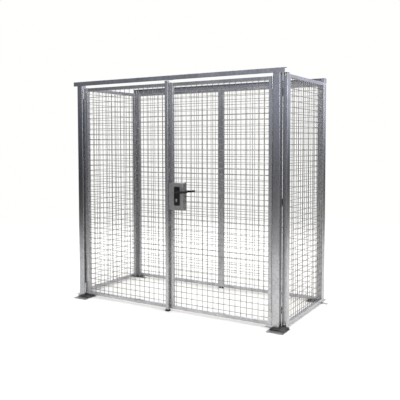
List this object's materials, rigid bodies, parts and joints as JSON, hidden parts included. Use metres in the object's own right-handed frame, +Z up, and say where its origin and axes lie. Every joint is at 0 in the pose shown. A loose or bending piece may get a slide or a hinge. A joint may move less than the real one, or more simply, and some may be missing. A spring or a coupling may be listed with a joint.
{
  "type": "wire mesh cage",
  "caption": "Walk-in storage cage of galvanised tube and welded wire mesh, open on top, with twin hinged front leaves, a lever lock and foot plates.",
  "frame": {"origin": "on the ground, at the centre of the footprint's box", "axes": "+X to the right along the long side seen from the front, -Y out of the door side, +Z up"},
  "size_m": [2.26, 1.19, 2.0844],
  "materials": {
    "galvanised_posts": "hot-dip galvanised square posts and angle beams, soft spangle",
    "galvanised_tube": "galvanised frame tube, light grey, soft spangle",
    "galvanised_plate": "galvanised ground plate, scuffed",
    "mesh_wire": "bright galvanised welded wire",
    "zinc_sheet": "zinc-coated sheet",
    "zinc_fasteners": "zinc-plated fasteners",
    "bright_steel": "bright plated steel",
    "nickel_brass": "nickel-plated brass",
    "handle_plastic": "black polyamide, semi-gloss",
    "black_plastic": "black polyethylene, matt",
    "rubber_pad": "black rubber, matt"
  },
  "bodies": {
    "frame": {"front_beam": "galvanised_posts", "rear_beam": "galvanised_posts", "beam_bolts": "zinc_fasteners", "hinge_post_left": "galvanised_posts", "hinge_post_right": "galvanised_posts", "corner_post_front_left": "galvanised_posts", "corner_post_front_right": "galvanised_posts", "corner_post_rear_left": "galvanised_posts", "corner_post_rear_right": "galvanised_posts", "post_caps": "black_plastic", "post_brackets": "galvanised_tube", "foot_plates": "galvanised_plate", "foot_pads": "rubber_pad", "foot_screws": "zinc_fasteners", "rear_glides": "black_plastic", "corner_bolts": "zinc_fasteners", "panel_joint_bolts": "zinc_fasteners", "post_knuckles": "galvanised_tube", "hinge_pins": "bright_steel", "bolt_keeper": "galvanised_tube", "side_panel_left_stiles": "galvanised_tube", "side_panel_left_rails": "galvanised_tube", "side_panel_left_mesh": "mesh_wire", "side_panel_right_stiles": "galvanised_tube", "side_panel_right_rails": "galvanised_tube", "side_panel_right_mesh": "mesh_wire", "rear_panel_left_stiles": "galvanised_tube", "rear_panel_left_rails": "galvanised_tube", "rear_panel_left_mesh": "mesh_wire", "rear_panel_right_stiles": "galvanised_tube", "rear_panel_right_rails": "galvanised_tube", "rear_panel_right_mesh": "mesh_wire"},
    "left_door": {"hinge_stile_left": "galvanised_tube", "leaf_rails_left": "galvanised_tube", "closing_stile_left": "galvanised_tube", "leaf_mesh_left": "mesh_wire", "leaf_knuckles_left": "galvanised_tube", "centre_bar": "galvanised_tube", "bar_end_caps": "black_plastic", "shoot_bolt_guides": "galvanised_tube"},
    "right_door": {"hinge_stile_right": "galvanised_tube", "leaf_rails_right": "galvanised_tube", "closing_stile_right": "galvanised_tube", "leaf_mesh_right": "mesh_wire", "leaf_knuckles_right": "galvanised_tube", "lock_case": "zinc_sheet", "outer_handle_plate": "handle_plastic", "inner_handle_plate": "handle_plastic", "plate_screws": "zinc_fasteners", "lock_cylinder": "nickel_brass"},
    "handle": {"outer_lever": "handle_plastic", "inner_lever": "handle_plastic", "spindle": "bright_steel", "follower": "bright_steel"},
    "latch": {"latch_bolt": "bright_steel"},
    "key_plug": {"key_plugs": "nickel_brass"},
    "deadlock": {"dead_bolt": "bright_steel"},
    "upper_bolt": {"upper_shoot_bolt": "bright_steel"},
    "lower_bolt": {"lower_shoot_bolt": "bright_steel"}
  },
  "joints": [
    {"name": "left_door_hinge", "type": "hinge", "parent": "frame", "child": "left_door", "pos_m": [-0.9725, -0.497, 1], "axis": [0, 0, -1], "range_deg": [0, 165]},
    {"name": "right_door_hinge", "type": "hinge", "parent": "frame", "child": "right_door", "pos_m": [0.9725, -0.497, 1], "axis": [0, 0, 1], "range_deg": [0, 165]},
    {"name": "handle_turn", "type": "hinge", "parent": "right_door", "child": "handle", "pos_m": [0.091, -0.479, 1.071], "axis": [0, 1, 0], "range_deg": [0, 40], "stiffness_Nm_per_rad": 1, "springref_deg": -34.38},
    {"name": "latch_slide", "type": "slide", "parent": "right_door", "child": "latch", "axis": [1, 0, 0], "range_m": [0, 0.0035]},
    {"name": "key_turn", "type": "hinge", "parent": "right_door", "child": "key_plug", "pos_m": [0.091, -0.479, 0.999], "axis": [0, 1, 0], "range_deg": [0, 360]},
    {"name": "dead_bolt_slide", "type": "slide", "parent": "right_door", "child": "deadlock", "axis": [-1, 0, 0], "range_m": [0, 0.02]},
    {"name": "upper_bolt_slide", "type": "slide", "parent": "left_door", "child": "upper_bolt", "axis": [0, 0, 1], "range_m": [0, 0.035]},
    {"name": "lower_bolt_slide", "type": "slide", "parent": "left_door", "child": "lower_bolt", "axis": [0, 0, -1], "range_m": [0, 0.035]}
  ],
  "couplings": [
    {"joint": "latch_slide", "follows": "handle_turn", "m_per_rad": 0.005},
    {"joint": "key_turn", "follows": "dead_bolt_slide", "rad_per_m": 314}
  ]
}
